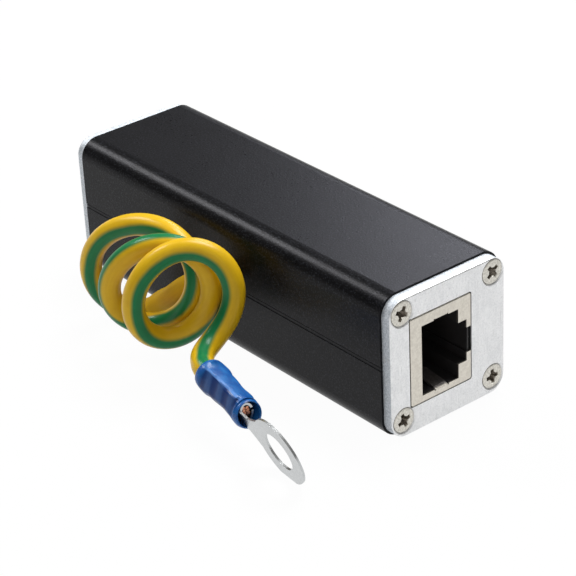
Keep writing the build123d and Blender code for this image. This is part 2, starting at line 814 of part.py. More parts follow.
def build():
    os.makedirs("parts", exist_ok=True)
    front_plate = end_plate()
    front_screws = plate_screws((20, 65, 5, 40))
    rear_screws = plate_screws((50, 10, 75, 30))
    shield = jack_shield()
    housing = jack_housing()
    contacts = jack_contacts()
    root, root_length = round_tube(root_points(), lead_radius)
    tail, tail_length = round_tube(tail_points(), lead_radius)
    nodes = {
        "upper_shell": upper_shell(),
        "lower_shell": lower_shell(),
        "front_plate": front_plate,
        "rear_plate": mirror(front_plate, about=Plane.YZ),
        "front_plate_screws": front_screws,
        "rear_plate_screws": [mirror(screw, about=Plane.YZ) for screw in rear_screws],
        "front_jack_shield": shield,
        "front_jack_housing": housing,
        "front_jack_contacts": contacts,
        "rear_jack_shield": to_rear(shield),
        "rear_jack_housing": to_rear(housing),
        "rear_jack_contacts": [to_rear(contact) for contact in contacts],
        "circuit_board": circuit_board(),
        "gas_tubes": gas_tubes(),
        "gas_tube_electrodes": gas_tube_electrodes(),
        "clamp_arrays": clamp_arrays(),
        "line_resistors": line_resistors(),
        "earth_tab": earth_tab(),
        "lead_grommet": lead_grommet(),
        "lead_inner": lead_inner(),
        "lead_root": root,
        "lead_coil": coil_body(),
        "lead_tail": tail,
        "terminal_sleeve": terminal_sleeve(),
        "ring_terminal": ring_terminal(),
        "conductor_strands": conductor_strands(),
    }
    for node, piece in nodes.items():
        write(node, piece)
    section = pi * lead_radius**2
    for name, points, tube, length in (
        ("lead_root", root_points(), root, root_length),
        ("lead_tail", tail_points(), tail, tail_length),
    ):
        radii = ", ".join(f"{radius:.1f}" for radius in bend_radii(points))
        print(f"{name}: length {length:.1f}, volume {tube.volume:.2f}, section x length {section * length:.2f}")
        print(f"{name}: bend radii {radii}")


build()
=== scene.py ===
# Ethernet surge protector with its coiled earth lead. +X runs along the case and +Z is up.
# The tables give lengths in millimetres and angles in degrees.
from math import atan2, cos, exp, pi, radians, sin

import bpy
from mathutils import Matrix, Vector


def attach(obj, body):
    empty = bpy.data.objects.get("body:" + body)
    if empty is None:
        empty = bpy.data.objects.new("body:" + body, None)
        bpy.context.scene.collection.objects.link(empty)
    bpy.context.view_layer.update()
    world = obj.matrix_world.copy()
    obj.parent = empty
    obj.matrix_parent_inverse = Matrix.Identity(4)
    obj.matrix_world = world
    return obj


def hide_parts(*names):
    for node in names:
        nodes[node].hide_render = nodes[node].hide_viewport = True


mm = 0.001
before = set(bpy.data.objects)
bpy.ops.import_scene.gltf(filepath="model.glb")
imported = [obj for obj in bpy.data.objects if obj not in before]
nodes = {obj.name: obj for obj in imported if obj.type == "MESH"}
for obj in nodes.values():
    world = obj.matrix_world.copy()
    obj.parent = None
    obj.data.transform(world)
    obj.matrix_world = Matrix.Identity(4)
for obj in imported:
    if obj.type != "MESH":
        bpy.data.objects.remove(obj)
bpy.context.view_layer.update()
print("frame loaded,", len(nodes), "nodes")


# Camera, at the photograph's view
photoView = {
    "aim": (0.0, 0.0, 13.0),
    "distance": 382.953,
    "azimuth": 51.7062,
    "elevation": 28.9924,
    "roll": -2.8973,
    "slideRight": 1.1915,
    "slideUp": -5.203,
    "lens": 138.97,
    "clipStart": 10.0,
}


def addCamera(look):
    azimuth, elevation, roll = [radians(look[key]) for key in ("azimuth", "elevation", "roll")]
    back = Vector((sin(azimuth) * cos(elevation), -cos(azimuth) * cos(elevation), sin(elevation)))
    right = (-back).cross(Vector((0, 0, 1))).normalized()
    up = right.cross(-back)
    turnedRight = right * cos(roll) + up * sin(roll)
    turnedUp = up * cos(roll) - right * sin(roll)
    spot = Vector(look["aim"]) + back * look["distance"]
    spot += turnedRight * look["slideRight"] + turnedUp * look["slideUp"]
    bpy.ops.object.camera_add()
    camera = bpy.context.object
    camera.name = "photoCamera"
    camera.data.lens = look["lens"]
    camera.data.clip_start = look["clipStart"] * mm
    turn = Matrix((turnedRight, turnedUp, back)).transposed()
    camera.matrix_world = Matrix.Translation(spot * mm) @ turn.to_4x4()
    bpy.context.scene.camera = camera


addCamera(photoView)
print("camera placed")


# Shader maths: a socket that can be added, multiplied and so on
class Value:
    def __init__(self, finish, socket):
        self.finish = finish
        self.socket = socket

    def __add__(self, other):
        return self.finish.maths("ADD", self, other)

    def __sub__(self, other):
        return self.finish.maths("SUBTRACT", self, other)

    def __rsub__(self, other):
        return self.finish.maths("SUBTRACT", other, self)

    def __mul__(self, other):
        return self.finish.maths("MULTIPLY", self, other)

    def __truediv__(self, other):
        return self.finish.maths("DIVIDE", self, other)

    __radd__ = __add__
    __rmul__ = __mul__


# One material, or the world, and the nodes it is made from
class Finish:
    def __init__(self, name, stock=bpy.data.materials):
        self.owner = stock.new(name)
        self.owner.use_nodes = True
        self.tree = self.owner.node_tree
        self.tree.nodes.clear()

    def node(self, kind, settings, sockets, output=0):
        made = self.tree.nodes.new("ShaderNode" + kind)
        for key, value in settings.items():
            setattr(made, key, value)
        for key, value in sockets.items():
            if isinstance(value, Value):
                self.tree.links.new(value.socket, made.inputs[key])
            else:
                made.inputs[key].default_value = value
        return Value(self, made.outputs[output]) if made.outputs else None

    def maths(self, operation, *values):
        return self.node("Math", {"operation": operation}, dict(enumerate(values)))

    def place(self, attribute="Object"):
        return self.node("TexCoord", {}, {}, attribute)

    def stretched(self, point, scale, turn):
        return self.node("Mapping", {}, {"Vector": point, "Scale": scale, "Rotation": turn})

    def noise(self, point, scale, detail=2.0, roughness=0.5, turn=(0, 0, 0)):
        # a scale for each axis stretches the pattern
        if isinstance(scale, tuple):
            point = self.stretched(point, scale, turn)
            scale = 1.0
        sockets = {"Vector": point, "Scale": scale, "Detail": detail, "Roughness": roughness}
        return self.node("TexNoise", {}, sockets)

    def parts(self, vector):
        return [self.node("SeparateXYZ", {}, {"Vector": vector}, index) for index in range(3)]

    def clamped(self, value, low, high):
        # 0 at low and 1 at high, with a soft start and end
        return self.node("MapRange", {"interpolation_type": "SMOOTHSTEP"}, {0: value, 1: low, 2: high})

    def absolute(self, value):
        return self.maths("ABSOLUTE", value)

    def dot(self, point, axis):
        return self.node("VectorMath", {"operation": "DOT_PRODUCT"}, {0: point, 1: axis}, 1)

    def blend(self, share, first, second):
        colours = [value if isinstance(value, Value) else (*value, 1) for value in (first, second)]
        return self.node("Mix", {"data_type": "RGBA"}, {0: share, 6: colours[0], 7: colours[1]}, 2)

    def bump(self, height, distance, strength):
        return self.node("Bump", {}, {"Height": height, "Distance": distance * mm, "Strength": strength})

    def surface(self, sockets):
        shader = self.node("BsdfPrincipled", {}, sockets)
        self.node("OutputMaterial", {}, {"Surface": shader}, None)
        return self.owner


# The earth lead's route, as in the part's source: y is from the side of the case that it leaves
lead = {
    "side": -12.75,
    "diameter": 3.9,
    "exit": (-0.8, 0.0, 13.55),
    "exitRun": 1.25,
    "rootRoute": (
        (-2.3, -3.05, 13.5),
        (-4.7, -3.95, 12.2),
        (-7.4, -4.05, 10.0),
        (-10.4, -3.55, 7.5),
        (-13.9, -2.95, 5.2),
        (-16.8, -3.65, 2.4),
    ),
    "rings": (                              # centre, radius and heading of each half turn
        (5.1, -8.05, 15.6, 7.5, -16.3),
        (0.9, -9.25, 15.0, 7.9, -9.1),
        (-2.2, -9.25, 13.6, 8.1, -16.1),
        (-6.0, -9.15, 12.1, 9.1, -26.9),
        (-9.7, -7.15, 11.3, 7.2, -45.0),
        (-14.2, -4.65, 11.6, 8.7, -45.9),
        (-19.2, -4.35, 12.0, 10.2, -49.6),
        (-24.3, -4.05, 12.4, 11.7, -53.4),
    ),
    "ringsFrom": -90,                       # the first half turn's angle
    "lean": 2.9,
    "push": (6.6, 7.9, 9.6),                # how far each turn is pulled out at one side
    "pushSpread": 89.0,
    "pushDirection": (0.686, -0.542, 0.485),
    "angles": (980, -20, -20),              # first, last and step, from the case outwards
    "tailRoute": (
        (9.7, -6.25, 13.1),
        (9.6, -8.05, 11.2),
        (9.8, -10.05, 10.0),
        (10.4, -12.15, 9.3),
        (11.5, -13.75, 9.1),
        (13.1, -14.85, 8.9),
        (14.3, -15.52, 9.0),
    ),
    "sleeveStart": (15.7, -15.85, 8.93),
    "sleeveAxis": (0.983, -0.110, -0.148),
    "runInSleeve": 3.5,
    "sides": 36,
    "order": 3,                             # of the NURBS line
    "steps": 10,                            # points on the line from each spot to the next
    "stripeReach": 9,                       # points either way that even out the stripe's turn
    "stripeTurns": (                        # distance along the lead, degrees round it
        (0, 124), (17, 105), (24, 125), (29, 201), (32, 246), (36, 267), (41, 267), (45, 254), (49, 258),
        (54, 252), (58, 234), (65, 212), (71, 210), (79, 240), (84, 258), (87, 220), (90, 170), (93, 143),
        (96, 132), (100, 121), (104, 116), (108, 108), (112, 98), (116, 73), (120, 50), (125, 67),
        (129, 99), (131, 117), (135, 138), (139, 144), (143, 157), (147, 170), (151, 154), (159, 159),
        (163, 164), (167, 170), (170, 169), (174, 177), (178, 182), (182, 176), (184, 167), (186, 156),
        (188, 152), (190, 164), (196, 189),
    ),
}


def besideCase(spot):
    return Vector((spot[0], spot[1] + lead["side"], spot[2])) * mm


def between(rows, position):
    low = min(int(position), len(rows) - 2)
    share = position - low
    return [a + share * (b - a) for a, b in zip(rows[low], rows[low + 1])]


def coilSpot(angle):
    x, y, z, radius, heading = between(lead["rings"], (angle - lead["ringsFrom"]) / 180)
    lean = radians(lead["lean"])
    heading = radians(heading)
    normal = Vector((cos(lean) * cos(heading), cos(lean) * sin(heading), sin(lean)))
    up = (Vector((0, 0, 1)) - normal * normal.z).normalized()
    side = up.cross(normal)
    push = sum(
        amount * exp(-(((angle - 360 * turn) / lead["pushSpread"]) ** 2))
        for turn, amount in enumerate(lead["push"])
    )
    around = side * (radius * cos(radians(angle))) + up * (radius * sin(radians(angle)))
    return besideCase(Vector((x, y, z)) + around + Vector(lead["pushDirection"]) * push)


def leadSpots():
    first, last, step = lead["angles"]
    out = Vector(lead["exit"]) + Vector((0, -lead["exitRun"], 0))
    start = Vector(lead["sleeveStart"])
    end = start + Vector(lead["sleeveAxis"]).normalized() * lead["runInSleeve"]
    spots = [besideCase(spot) for spot in (lead["exit"], out, *lead["rootRoute"])]
    spots += [coilSpot(angle) for angle in range(first, last - 1, step)]
    return spots + [besideCase(spot) for spot in (*lead["tailRoute"], start, end)]


def smoothLine(spots, order, steps):
    # the points of a NURBS line through the route, read before it gets any thickness
    curve = bpy.data.curves.new("leadLine", "CURVE")
    curve.dimensions = "3D"
    spline = curve.splines.new("NURBS")
    spline.points.add(len(spots) - 1)
    for knot, spot in zip(spline.points, spots):
        knot.co = (*spot, 1)
    spline.order_u = order
    spline.use_endpoint_u = True
    spline.resolution_u = steps
    line = bpy.data.objects.new("leadLine", curve)
    mesh = bpy.data.meshes.new_from_object(line)
    read = [vertex.co.copy() for vertex in mesh.vertices]
    bpy.data.meshes.remove(mesh)
    bpy.data.objects.remove(line)
    bpy.data.curves.remove(curve)
    return read


def distances(line):
    along = [0.0]
    for before, after in zip(line, line[1:]):
        along.append(along[-1] + (after - before).length)
    return along


def turnAt(table, distance):
    for (startAt, startTurn), (endAt, endTurn) in zip(table, table[1:]):
        if distance <= endAt:
            share = max(0.0, (distance - startAt) / (endAt - startAt))
            return startTurn + share * (endTurn - startTurn)
    return table[-1][1]


def evened(values, reach):
    means = []
    for index in range(len(values)):
        window = values[max(0, index - reach):index + reach + 1]
        means.append(sum(window) / len(window))
    return means


def tubeAlong(name, line, look):
    # rings of faces along a line; the map's V runs round the tube, 0.5 on the stripe
    radius = look["diameter"] / 2 * mm
    sides = look["sides"]
    along = distances(line)
    turns = [turnAt(look["stripeTurns"], distance / mm) for distance in along]
    stripe = evened(turns, look["stripeReach"])
    normal = Vector((0, 0, 1))
    spots = []
    for index, spot in enumerate(line):
        ahead = (line[min(index + 1, len(line) - 1)] - line[max(index - 1, 0)]).normalized()
        normal = (normal - ahead * normal.dot(ahead)).normalized()
        across = ahead.cross(normal)
        for side in range(sides):
            angle = radians(stripe[index]) + 2 * pi * (side / sides - 0.5)
            spots.append(spot + radius * (cos(angle) * normal + sin(angle) * across))
    faces = []
    for ring in range(len(line) - 1):
        for side in range(sides):
            after = (side + 1) % sides
            low = ring * sides
            faces.append((low + side, low + after, low + sides + after, low + sides + side))
    wallFaces = len(faces)
    last = (len(line) - 1) * sides
    faces += [tuple(reversed(range(sides))), tuple(range(last, last + sides))]
    mesh = bpy.data.meshes.new(name)
    mesh.from_pydata(spots, [], faces)
    mesh.uv_layers.new(name="leadMap")
    places = mesh.uv_layers["leadMap"].data
    for number, face in enumerate(mesh.polygons):
        for corner, loop in enumerate(face.loop_indices):
            if number >= wallFaces:
                places[loop].uv = (0, 0)
                continue
            ring, side = divmod(number, sides)
            places[loop].uv = (along[ring + corner // 2] / mm, (side + (corner in (1, 2))) / sides)
    tube = bpy.data.objects.new(name, mesh)
    bpy.context.scene.collection.objects.link(tube)
    for face in mesh.polygons[:wallFaces]:
        face.use_smooth = True
    return tube


leadLine = smoothLine(leadSpots(), lead["order"], lead["steps"])
earthLead = tubeAlong("earthLead", leadLine, lead)


# Modelling: pieces are drawn along their own Z and then put in place
closeTo = 0.001                             # how near counts as the same place


def selectOnly(piece):
    bpy.ops.object.select_all(action="DESELECT")
    piece.select_set(True)
    bpy.context.view_layer.objects.active = piece


def startEditing(piece):
    selectOnly(piece)
    bpy.ops.object.mode_set(mode="EDIT")
    bpy.ops.mesh.select_mode(type="VERT")


def choose(piece, wanted):
    # select the vertices whose place is wanted
    bpy.ops.mesh.select_all(action="DESELECT")
    bpy.ops.object.mode_set(mode="OBJECT")
    for vertex in piece.data.vertices:
        vertex.select = wanted(vertex.co / mm)
    bpy.ops.object.mode_set(mode="EDIT")


def resize(share, height=0):
    bpy.ops.transform.resize(value=share, center_override=(0, 0, height * mm))


def extrudeTo(at, nextAt):
    bpy.ops.mesh.extrude_region_move(TRANSFORM_OT_translate={"value": (0, 0, (nextAt - at) * mm)})


def faceOutwards():
    bpy.ops.mesh.select_all(action="SELECT")
    bpy.ops.mesh.normals_make_consistent(inside=False)


def turned(name, stations, sides):
    # a lathe-turned skin through rings at a distance along Z and a radius, left open for editing
    (at, radius), *others = stations
    bpy.ops.mesh.primitive_circle_add(vertices=sides, radius=radius * mm, location=(0, 0, 0))
    piece = bpy.context.object
    piece.name = name
    startEditing(piece)
    bpy.ops.mesh.select_all(action="SELECT")
    bpy.ops.transform.translate(value=(0, 0, at * mm))
    for nextAt, nextRadius in others:
        extrudeTo(at, nextAt)
        resize((nextRadius / radius, nextRadius / radius, 1), nextAt)
        at = nextAt
        radius = nextRadius
    return piece


def turnedSolid(name, stations, sides):
    piece = turned(name, stations, sides)
    for end, _ in (stations[0], stations[-1]):
        choose(piece, lambda spot: abs(spot.z - end) < closeTo)
        bpy.ops.mesh.edge_face_add()
    faceOutwards()
    bpy.ops.object.mode_set(mode="OBJECT")
    return piece


def putInPlace(piece, origin, turn):
    selectOnly(piece)
    piece.matrix_world = Matrix.Translation(origin) @ turn.to_4x4()
    bpy.ops.object.transform_apply(location=True, rotation=True, scale=True)


def shadeSmooth(piece, angle):
    selectOnly(piece)
    bpy.ops.object.shade_smooth_by_angle(angle=radians(angle))


# The crimped sleeve: a collar, sides pressed flat, a waist and a soft mouth at a slant
sleeve = {
    "outside": (
        (0.10, 2.12), (0.02, 2.25), (0.06, 2.40), (0.22, 2.54), (0.50, 2.64), (0.95, 2.71), (1.60, 2.75),
        (2.40, 2.78), (3.00, 2.76), (3.40, 2.68), (3.75, 2.56), (4.20, 2.50), (4.80, 2.50), (5.50, 2.48),
        (6.20, 2.42), (6.90, 2.34), (7.60, 2.29), (8.30, 2.29), (9.00, 2.34), (9.60, 2.39), (10.20, 2.41),
        (10.80, 2.42), (11.40, 2.42), (11.90, 2.41), (12.25, 2.37), (12.48, 2.29), (12.60, 2.20),
    ),
    "inside": (
        (12.58, 2.11), (12.48, 2.04), (12.25, 2.0), (11.60, 1.99), (9.00, 1.98), (6.20, 1.98), (3.40, 1.98),
        (1.20, 1.99), (0.40, 2.0), (0.20, 2.05),
    ),
    "sides": 72,
    "flats": (                              # facing, from, to, distance from the axis, share kept
        (76, 1.5, 10.6, 2.06, 0.16),
        (76, 5.4, 10.2, 2.0, 0.3),
        (156, 1.7, 10.9, 2.06, 0.16),
        (156, 4.4, 10.3, 2.0, 0.3),
    ),
    "pressedRadius": 2.02,                  # what lies nearer the axis isn't pressed
    "mouthAt": 12.6,
    "mouthNormal": (0.960, -0.130, 0.249),
    "lean": ((2.2, 0.4), (1.1, 0.6)),       # distance back from the mouth, share of the lean
    "crease": (65, 1.60),                   # direction it is measured in, distance
    "smoothAngle": 40,
}


def sleeveTurn():
    along = Vector(lead["sleeveAxis"]).normalized()
    up = (Vector((0, 0, 1)) - along * along.z).normalized()
    return Matrix((up.cross(along), up, along)).transposed()


def turnSleeve(degrees):
    # transform.rotate turns the other way with no window
    bpy.ops.mesh.select_all(action="SELECT")
    bpy.ops.transform.rotate(value=-radians(degrees), orient_axis="Z", center_override=(0, 0, 0))


def crimpedSleeve():
    ends = (sleeve["outside"][0], sleeve["inside"][-1])
    piece = turned("crimpedSleeve", sleeve["outside"] + sleeve["inside"], sleeve["sides"])
    choose(piece, lambda spot: any(
        abs(spot.z - at) < closeTo and abs(spot.xy.length - radius) < closeTo for at, radius in ends
    ))
    bpy.ops.mesh.bridge_edge_loops()
    # the crimping tool pressed the top and the open side flat
    kept = sleeve["pressedRadius"]
    for facing, low, high, start, share in sleeve["flats"]:
        turnSleeve(90 - facing)
        choose(piece, lambda spot: low < spot.z < high and spot.y > start and spot.xy.length > kept)
        bpy.ops.transform.resize(value=(1, share, 1), center_override=(0, start * mm, 0))
        turnSleeve(facing - 90)
    # the mouth leans
    normal = sleeveTurn().transposed() @ Vector(sleeve["mouthNormal"]).normalized()
    middle = (0, 0, sleeve["mouthAt"] * mm)
    for reach, share in sleeve["lean"]:
        for axis, angle in (("X", atan2(normal.y, normal.z)), ("Y", -atan2(normal.x, normal.z))):
            choose(piece, lambda spot: spot.z > sleeve["mouthAt"] - reach)
            bpy.ops.transform.rotate(value=share * angle, orient_axis=axis, center_override=middle)
    bpy.ops.object.mode_set(mode="OBJECT")
    putInPlace(piece, besideCase(lead["sleeveStart"]), sleeveTurn())
    startEditing(piece)
    faceOutwards()
    bpy.ops.object.mode_set(mode="OBJECT")
    shadeSmooth(piece, sleeve["smoothAngle"])
    return piece


crimped = crimpedSleeve()
print("sleeve crimped,", len(crimped.data.polygons), "faces")


# Plate screws: a low dome with a worn edge and a wide cross recess that narrows inwards
screws = {
    "face": 41.97,
    "inset": (3.0, 3.45, 2.95),             # from the sides, the bottom and the top
    "halfWidth": 12.75,
    "height": 25.9,
    "head": (
        (-8.0, 0.45), (-7.7, 0.98), (-7.0, 1.0), (-3.2, 1.0), (-2.15, 1.2), (-1.4, 1.2), (-0.42, 2.1),
        (-0.24, 2.16), (-0.12, 2.13), (-0.07, 2.03), (-0.035, 1.7), (-0.015, 1.2), (-0.005, 0.6),
        (0.0, 0.06),
    ),
    "sides": 48,
    "recess": ((0.3, 1.55, 0.42), (-0.5, 1.0, 0.28), (-1.25, 0.30, 0.16)),
    "recessMiddle": ((0.3, 0.95), (-0.45, 0.62), (-1.2, 0.12)),
    "middleSides": 20,
    "turns": {"frontScrews": (20, 65, 5, 40), "rearScrews": (50, 10, 75, 30)},
    "smoothAngle": 32,
}


def crossBars(recess):
    # two tapered bars that cross, drawn downwards from above the head
    bars = []
    for turn in (0, 90):
        (at, reach, half), *deeper = recess
        bpy.ops.mesh.primitive_plane_add(size=2 * mm, location=(0, 0, 0))
        bar = bpy.context.object
        startEditing(bar)
        bpy.ops.mesh.select_all(action="SELECT")
        resize((reach, half, 1))
        bpy.ops.transform.translate(value=(0, 0, at * mm))
        for nextAt, nextReach, nextHalf in deeper:
            extrudeTo(at, nextAt)
            resize((nextReach / reach, nextHalf / half, 1), nextAt)
            at, reach, half = nextAt, nextReach, nextHalf
        choose(bar, lambda spot: abs(spot.z - recess[0][0]) < closeTo)
        bpy.ops.mesh.edge_face_add()
        faceOutwards()
        bpy.ops.transform.rotate(value=radians(turn), orient_axis="Z", center_override=(0, 0, 0))
        bpy.ops.object.mode_set(mode="OBJECT")
        bars.append(bar)
    return bars


def cutAway(piece, cutter):
    modifier = piece.modifiers.new("cut", "BOOLEAN")
    modifier.operation = "DIFFERENCE"
    modifier.solver = "EXACT"
    modifier.object = cutter
    selectOnly(piece)
    bpy.ops.object.modifier_apply(modifier=modifier.name)
    bpy.data.objects.remove(cutter)


def dressedScrew():
    piece = turnedSolid("plateScrew", screws["head"], screws["sides"])
    middle = turnedSolid("recessMiddle", screws["recessMiddle"], screws["middleSides"])
    for cutter in (*crossBars(screws["recess"]), middle):
        cutAway(piece, cutter)
    return piece


def screwSet(model, name, end):
    side, low, high = screws["inset"]
    places = [
        (along * (screws["halfWidth"] - side), height)
        for along in (-1, 1)
        for height in (low, screws["height"] - high)
    ]
    copies = []
    for (y, z), turn in zip(places, screws["turns"][name]):
        piece = model.copy()
        piece.data = model.data.copy()
        bpy.context.scene.collection.objects.link(piece)
        facing = Matrix.Rotation(radians(90) * end, 3, "Y") @ Matrix.Rotation(radians(turn), 3, "Z")
        putInPlace(piece, Vector((end * screws["face"], y, z)) * mm, facing)
        copies.append(piece)
    selectOnly(copies[0])
    for piece in copies:
        piece.select_set(True)
    bpy.ops.object.join()
    copies[0].name = name
    copies[0].data.name = name
    shadeSmooth(copies[0], screws["smoothAngle"])
    return copies[0]


screwModel = dressedScrew()
frontScrews = screwSet(screwModel, "frontScrews", 1)
rearScrews = screwSet(screwModel, "rearScrews", -1)
bpy.data.objects.remove(screwModel)
print("screws turned,", len(frontScrews.data.polygons), "faces")


# Finishes: a noise is its scale, detail and roughness, a relief is its height and strength, and
# each pair of colours is dark, then light
caseLook = {
    "grain": (2700, 1),
    "fineGrain": (3900, 1),
    "cloud": (70, 3),
    "colours": ((0.0014, 0.0014, 0.0018), (0.0026, 0.0026, 0.0031)),
    "glint": (0.020, 0.021, 0.025),         # single bright grains
    "glintRange": (0.50, 0.72),
    "roughness": 0.20,
    "cloudRoughness": 0.08,
    "grainRoughness": 0.14,
    "relief": (0.030, 0.7),
    "specular": 0.115,
    "tint": (0.94, 0.93, 1.0),
}


def anodisedCase(look):
    finish = Finish("anodisedCase")
    spot = finish.place()
    grain = finish.noise(spot, *look["grain"])
    fine = finish.noise(spot, *look["fineGrain"])
    cloud = finish.noise(spot, *look["cloud"])
    glint = finish.clamped(fine, *look["glintRange"])
    roughness = look["roughness"] + look["cloudRoughness"] * cloud + look["grainRoughness"] * (1 - grain)
    return finish.surface({
        "Base Color": finish.blend(glint, finish.blend(cloud, *look["colours"]), look["glint"]),
        "Roughness": roughness,
        "Normal": finish.bump(0.5 * grain + 0.5 * fine, *look["relief"]),
        "Specular IOR Level": look["specular"],
        "Specular Tint": (*look["tint"], 1),
    })


plateLook = {
    "speckle": (3000, 4, 0.7),
    "patch": ((700, 900, 380), 5, 0.65),
    "mottleShares": (0.6, 0.4),             # speckle and patch
    "mottleRange": (0.34, 0.64),
    "pit": (1500, 3, 0.6),
    "pitRange": (0.62, 0.70),
    "pitShare": 0.45,
    "pitColour": (0.42, 0.42, 0.42),
    "scratch": ((900, 4200, 240), 3),
    "scratchTurn": 24,
    "scratchRange": (0.66, 0.72),
    "scratchShare": 0.5,
    "scratchColour": (0.50, 0.50, 0.50),
    "face": ((0.70, 0.71, 0.72), (0.88, 0.885, 0.89)),
    "rim": ((0.42, 0.46, 0.50), (0.68, 0.71, 0.75)),
    "rimMottleRange": (0.4, 0.62),
    "rimRange": (41.82, 41.72),             # where the face ends and the thickness starts
    "window": (9.0, 9.9, 13.0),             # round the jack: half width, half height, middle
    "windowShade": (0.03, 0.03, 0.03),
    "roughness": 0.38,
    "patchRoughness": 0.10,
    "rimRoughness": 0.16,
    "metallic": 0.80,
    "rimDullness": 0.35,
    "relief": (0.030, 0.8),
    "reliefShares": (0.6, 0.25, 0.2),       # speckle, patch and scratch
}


def blastedPlate(look):
    finish = Finish("blastedPlate")
    spot = finish.place()
    speckle = finish.noise(spot, *look["speckle"])
    patch = finish.noise(spot, *look["patch"])
    pit = finish.clamped(finish.noise(spot, *look["pit"]), *look["pitRange"])
    drag = finish.noise(spot, *look["scratch"], turn=(radians(look["scratchTurn"]), 0, 0))
    scratch = finish.clamped(drag, *look["scratchRange"])
    x, y, z = finish.parts(spot)
    rim = finish.clamped(finish.absolute(x), *[at * mm for at in look["rimRange"]])
    speckleShare, patchShare = look["mottleShares"]
    mottle = finish.clamped(speckleShare * speckle + patchShare * patch, *look["mottleRange"])
    face = finish.blend(mottle, *look["face"])
    edge = finish.blend(finish.clamped(speckle, *look["rimMottleRange"]), *look["rim"])
    # the walls of the jack's window are in its shade
    halfWidth, halfHeight, middle = [size * mm for size in look["window"]]
    inWidth = finish.maths("LESS_THAN", finish.absolute(y), halfWidth)
    inHeight = finish.maths("LESS_THAN", finish.absolute(z - middle), halfHeight)
    edge = finish.blend(inWidth * inHeight, edge, look["windowShade"])
    clean = finish.blend(rim, face, edge)
    pitted = finish.blend(pit * look["pitShare"], clean, look["pitColour"])
    raised, swelling, sunken = look["reliefShares"]
    return finish.surface({
        "Base Color": finish.blend(scratch * look["scratchShare"], pitted, look["scratchColour"]),
        "Roughness": look["roughness"] + look["patchRoughness"] * patch + look["rimRoughness"] * rim,
        "Metallic": look["metallic"] - look["rimDullness"] * rim,
        "Normal": finish.bump(speckle * raised + patch * swelling - scratch * sunken, *look["relief"]),
    })


# Metals that are duller and darker where they lie deeper than their face: painted shade, and dirt in the
# screws' recesses
jackLook = {
    "face": 42.0,
    "deepRange": (0.14, 0.42),              # folded edges and fingers, darkened as painted shade
    "mottle": (2200, 4, 0.6),
    "mottleRange": (0.3, 0.7),
    "outer": ((0.58, 0.545, 0.48), (0.70, 0.665, 0.59)),
    "deepDirtAndShade": ((0.085, 0.078, 0.076), (0.15, 0.138, 0.134)),
    "roughness": 0.30,
    "mottleRoughness": 0.12,
    "deepRoughness": 0.1,
    "deepDullness": 0.4,
    "relief": (0.01, 0.5),
}
screwLook = {
    "face": screws["face"],
    "deepRange": (0.10, 0.20),              # dirt in the recess, and painted shade on the head's edge
    "mottle": (2600, 4, 0.65),
    "mottleRange": (0.35, 0.65),
    "outer": ((0.50, 0.48, 0.43), (0.74, 0.72, 0.66)),
    "deepDirtAndShade": ((0.09, 0.075, 0.06), (0.30, 0.26, 0.21)),
    "roughness": 0.30,
    "mottleRoughness": 0.16,
    "deepRoughness": 0.0,
    "deepDullness": 0.6,
    "relief": (0.030, 0.6),
}


def recessedMetal(name, look):
    finish = Finish(name)
    spot = finish.place()
    depth = look["face"] * mm - finish.absolute(finish.parts(spot)[0])
    # darker where deeper than the face: painted shade, with dirt in the screws' recesses
    deepDirtAndShade = finish.clamped(depth, *[at * mm for at in look["deepRange"]])
    mottle = finish.noise(spot, *look["mottle"])
    share = finish.clamped(mottle, *look["mottleRange"])
    outside = finish.blend(share, *look["outer"])
    inside = finish.blend(share, *look["deepDirtAndShade"])
    return finish.surface({
        "Base Color": finish.blend(deepDirtAndShade, outside, inside),
        "Roughness": look["roughness"] + look["mottleRoughness"] * mottle + look["deepRoughness"] * deepDirtAndShade,
        "Metallic": 1 - look["deepDullness"] * deepDirtAndShade,
        "Normal": finish.bump(mottle, *look["relief"]),
    })


plainMetals = {                             # colours, grain, roughness, relief
    "contactGold": (((0.70, 0.46, 0.14), (0.86, 0.60, 0.24)), 5200, 0.22, (0.01, 0.5)),
    "electrodeTin": (((0.58, 0.57, 0.55), (0.72, 0.71, 0.69)), 3200, 0.32, (0.01, 0.5)),
    "tabTin": (((0.60, 0.58, 0.55), (0.75, 0.73, 0.70)), 2600, 0.3, (0.01, 0.5)),
    "terminalTin": (((0.49, 0.505, 0.51), (0.57, 0.585, 0.59)), 2400, 0.30, (0.003, 0.5)),
}
metalNoise = {
    "mottle": (4, 0.6),                     # detail and roughness
    "mottleRange": (0.3, 0.7),
    "cloudCoarser": 20,
    "cloudRoughness": 0.16,
}


def plainMetal(name, colours, grain, roughness, relief):
    finish = Finish(name)
    spot = finish.place()
    mottle = finish.noise(spot, grain, *metalNoise["mottle"])
    cloud = finish.noise(spot, grain / metalNoise["cloudCoarser"])
    spread = metalNoise["cloudRoughness"]
    return finish.surface({
        "Base Color": finish.blend(finish.clamped(mottle, *metalNoise["mottleRange"]), *colours),
        "Roughness": roughness - spread / 2 + spread * cloud,
        "Metallic": 1.0,
        "Normal": finish.bump(mottle, *relief),
    })


mouldedPlastics = {                         # colours, grain, roughness, relief
    "housingPlastic": (((0.0090, 0.0082, 0.0086), (0.0165, 0.0150, 0.0158)), 5200, 0.55, (0.01, 0.5)),
    "tubeCeramic": (((0.62, 0.50, 0.46), (0.74, 0.64, 0.60)), 4800, 0.42, (0.01, 0.5)),
    "chipEpoxy": (((0.012, 0.012, 0.013), (0.030, 0.030, 0.032)), 7000, 0.62, (0.02, 0.5)),
    "grommetRubber": (((0.010, 0.010, 0.010), (0.020, 0.020, 0.020)), 4200, 0.7, (0.01, 0.5)),
}
plasticNoise = {
    "fine": (3, 0.6),                       # detail and roughness
    "fineShare": 0.3,
    "fineRoughness": 0.1,
    "cloudCoarser": 30,
    "cloudRange": (0.4, 0.9),
}


